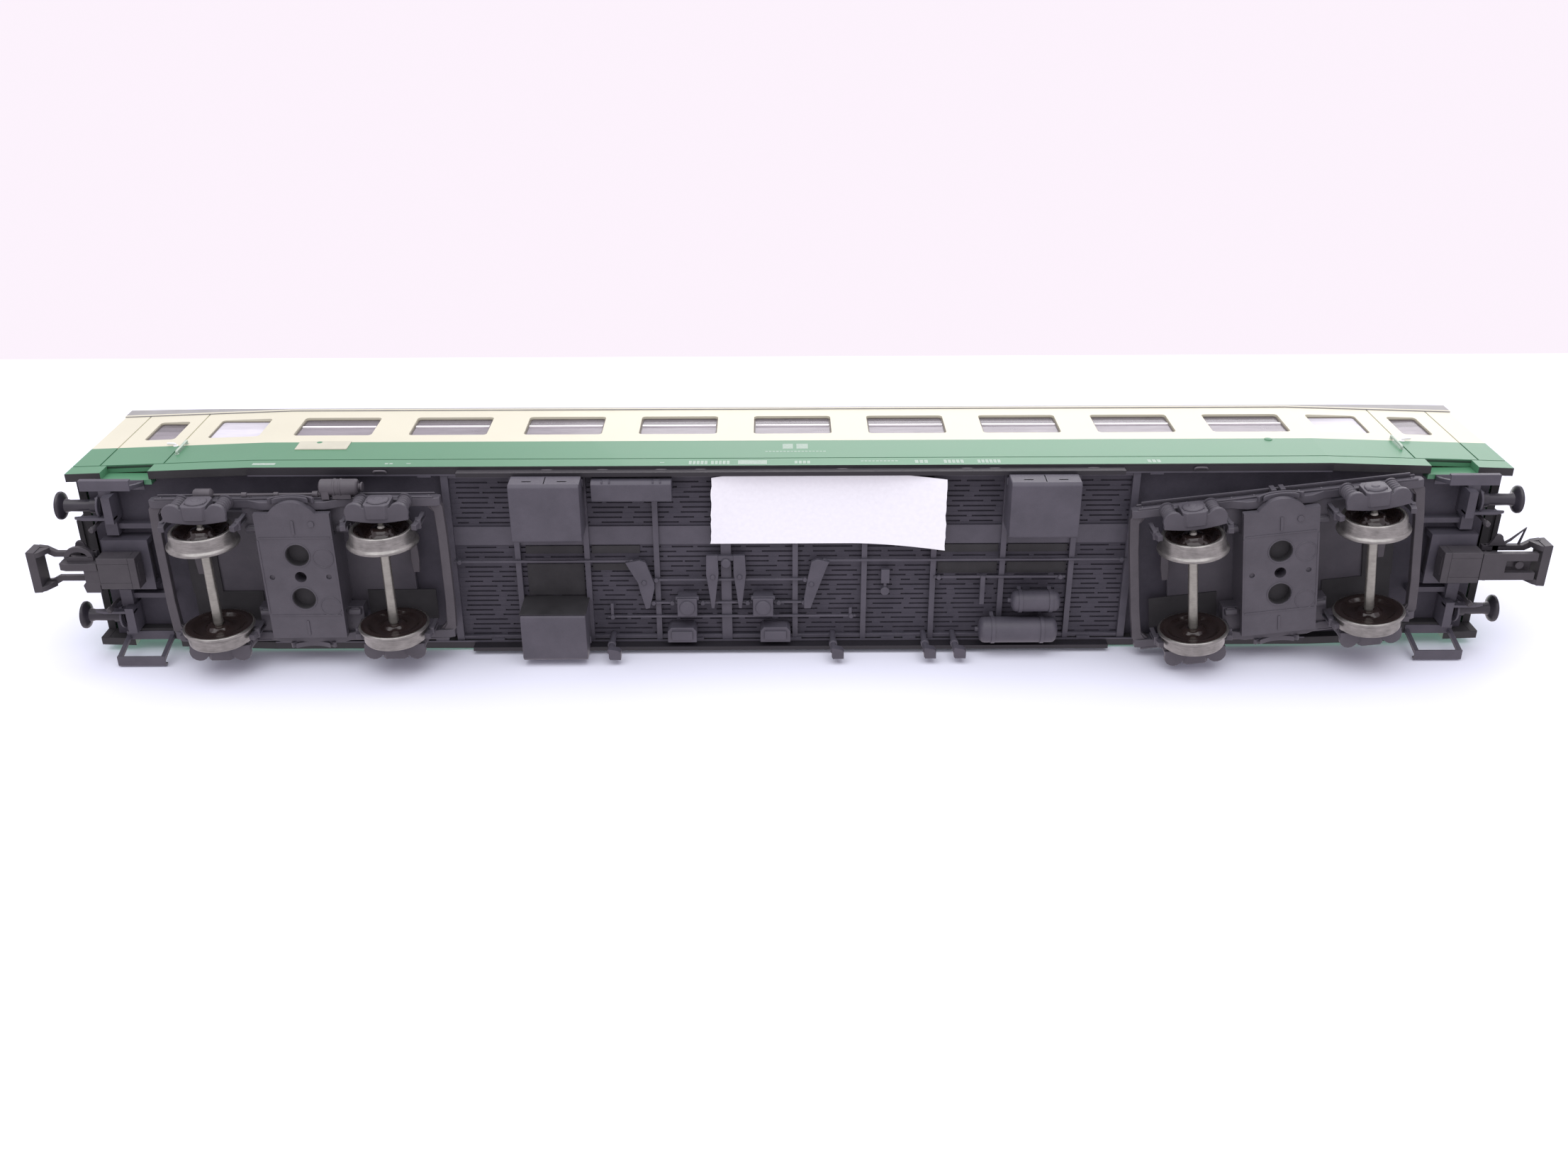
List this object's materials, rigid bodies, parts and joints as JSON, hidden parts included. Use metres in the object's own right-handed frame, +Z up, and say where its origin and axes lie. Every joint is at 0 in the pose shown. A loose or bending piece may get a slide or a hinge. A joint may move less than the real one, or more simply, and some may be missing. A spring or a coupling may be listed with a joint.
{
  "type": "model passenger coach",
  "caption": "Model railway passenger coach with windowed body, arched roof, underframe equipment, swivelling two-axle bogies and sprung hook-and-loop couplers.",
  "frame": {"origin": "centre of the overall footprint, at the level of the wheel flanges' lowest points", "axes": "+X along the coach towards the end whose bogie is turned, +Y across it, +Z up"},
  "size_m": [0.2496, 0.034, 0.0481],
  "materials": {
    "body_paint": "satin two-tone paint, green below a cream window band",
    "roof_paint": "matt mid-grey paint",
    "clear_plastic": "clear moulded plastic",
    "frosted_plastic": "frosted white moulded plastic",
    "bright_trim": "bright printed or painted trim",
    "bellows_plastic": "matt black moulded plastic",
    "interior_plastic": "matt brown moulded plastic",
    "ballast_steel": "plain sheet steel",
    "underframe_plastic": "satin black-grey moulded plastic",
    "bogie_plastic": "satin black moulded plastic",
    "buffer_plastic": "satin black moulded plastic",
    "coupler_plastic": "satin black moulded plastic",
    "axle_steel": "turned steel",
    "tyre_metal": "nickel plated, turned rim",
    "wheel_plastic": "glossy black moulded plastic",
    "paper": "plain uncoated paper"
  },
  "bodies": {
    "coach": {"body_shell": "body_paint", "roof": "roof_paint", "roof_vents": "roof_paint", "glazing_near": "clear_plastic", "glazing_far": "clear_plastic", "lavatory_panes": "frosted_plastic", "door_panes": "clear_plastic", "window_bars": "bright_trim", "handrails_and_handles": "bright_trim", "gangway_bellows": "bellows_plastic", "end_doors": "bellows_plastic", "interior": "interior_plastic", "ballast_plate": "ballast_steel", "underframe": "underframe_plastic", "battery_box_minus": "underframe_plastic", "battery_box_plus": "underframe_plastic", "equipment_box_far": "underframe_plastic", "fuse_box": "underframe_plastic", "air_tanks": "underframe_plastic", "brake_cylinders_and_valves": "underframe_plastic", "brake_rigging": "underframe_plastic", "headstocks": "underframe_plastic", "buffers": "buffer_plastic", "brake_hoses": "coupler_plastic", "coupler_guides": "underframe_plastic", "door_sills": "body_paint", "door_steps": "underframe_plastic", "paper_tag": "paper", "pivot_pin_minus": "bogie_plastic", "pivot_pin_plus": "bogie_plastic"},
    "bogie_minus": {"bogie_minus_frame": "bogie_plastic", "bogie_minus_side_frames": "bogie_plastic", "bogie_minus_brake_shoes": "bogie_plastic", "axle_generator": "bogie_plastic"},
    "wheelset_minus_inner": {"wheelset_minus_inner_axle": "axle_steel", "wheelset_minus_inner_tyres": "tyre_metal", "wheelset_minus_inner_centres": "wheel_plastic"},
    "wheelset_minus_outer": {"wheelset_minus_outer_axle": "axle_steel", "wheelset_minus_outer_tyres": "tyre_metal", "wheelset_minus_outer_centres": "wheel_plastic"},
    "bogie_plus": {"bogie_plus_frame": "bogie_plastic", "bogie_plus_side_frames": "bogie_plastic", "bogie_plus_brake_shoes": "bogie_plastic"},
    "wheelset_plus_inner": {"wheelset_plus_inner_axle": "axle_steel", "wheelset_plus_inner_tyres": "tyre_metal", "wheelset_plus_inner_centres": "wheel_plastic"},
    "wheelset_plus_outer": {"wheelset_plus_outer_axle": "axle_steel", "wheelset_plus_outer_tyres": "tyre_metal", "wheelset_plus_outer_centres": "wheel_plastic"},
    "coupler_minus_slide": {"coupler_minus_carrier": "coupler_plastic"},
    "coupler_minus_arm": {"coupler_minus_pocket": "coupler_plastic", "coupler_minus_head": "coupler_plastic"},
    "coupler_minus_bail": {"coupler_minus_loop": "coupler_plastic"},
    "coupler_plus_slide": {"coupler_plus_carrier": "coupler_plastic"},
    "coupler_plus_arm": {"coupler_plus_pocket": "coupler_plastic", "coupler_plus_head": "coupler_plastic"},
    "coupler_plus_bail": {"coupler_plus_loop": "coupler_plastic"}
  },
  "joints": [
    {"name": "bogie_minus_swivel", "type": "hinge", "parent": "coach", "child": "bogie_minus", "pos_m": [-0.0799, 0, 0.0112], "axis": [0, 0, 1], "range_deg": [-12.7, 13.3]},
    {"name": "wheelset_minus_inner_spin", "type": "hinge", "parent": "bogie_minus", "child": "wheelset_minus_inner", "pos_m": [-0.0655, 0.00072, 0.00575], "axis": [0.0052, 1, 0], "continuous": true},
    {"name": "wheelset_minus_outer_spin", "type": "hinge", "parent": "bogie_minus", "child": "wheelset_minus_outer", "pos_m": [-0.0943, 0.00088, 0.00575], "axis": [0.0052, 1, 0], "continuous": true},
    {"name": "bogie_plus_swivel", "type": "hinge", "parent": "coach", "child": "bogie_plus", "pos_m": [0.0799, 0, 0.0112], "axis": [0, 0, 1], "range_deg": [-6.4, 19.6]},
    {"name": "wheelset_plus_inner_spin", "type": "hinge", "parent": "bogie_plus", "child": "wheelset_plus_inner", "pos_m": [0.06569, 0.00245, 0.00575], "axis": [0.1149, 0.9934, 0], "continuous": true},
    {"name": "wheelset_plus_outer_spin", "type": "hinge", "parent": "bogie_plus", "child": "wheelset_plus_outer", "pos_m": [0.0943, -0.00086, 0.00575], "axis": [0.1149, 0.9934, 0], "continuous": true},
    {"name": "coupler_minus_draw", "type": "slide", "parent": "coach", "child": "coupler_minus_slide", "axis": [-1, 0, 0], "range_m": [0, 0.002], "stiffness_N_per_m": 40},
    {"name": "coupler_minus_swing", "type": "hinge", "parent": "coupler_minus_slide", "child": "coupler_minus_arm", "pos_m": [-0.1086, 0, 0.0124], "axis": [0, 0, 1], "range_deg": [-10, 10], "stiffness_Nm_per_rad": 0.002},
    {"name": "coupler_minus_lift", "type": "hinge", "parent": "coupler_minus_arm", "child": "coupler_minus_bail", "pos_m": [-0.1149, 0, 0.01145], "axis": [0, 1, 0], "range_deg": [0, 20]},
    {"name": "coupler_plus_draw", "type": "slide", "parent": "coach", "child": "coupler_plus_slide", "axis": [1, 0, 0], "range_m": [0, 0.002], "stiffness_N_per_m": 40},
    {"name": "coupler_plus_swing", "type": "hinge", "parent": "coupler_plus_slide", "child": "coupler_plus_arm", "pos_m": [0.1086, 0, 0.0124], "axis": [0, 0, 1], "range_deg": [-10, 10], "stiffness_Nm_per_rad": 0.002},
    {"name": "coupler_plus_lift", "type": "hinge", "parent": "coupler_plus_arm", "child": "coupler_plus_bail", "pos_m": [0.1149, 0, 0.01145], "axis": [0, -1, 0], "range_deg": [0, 20]}
  ]
}
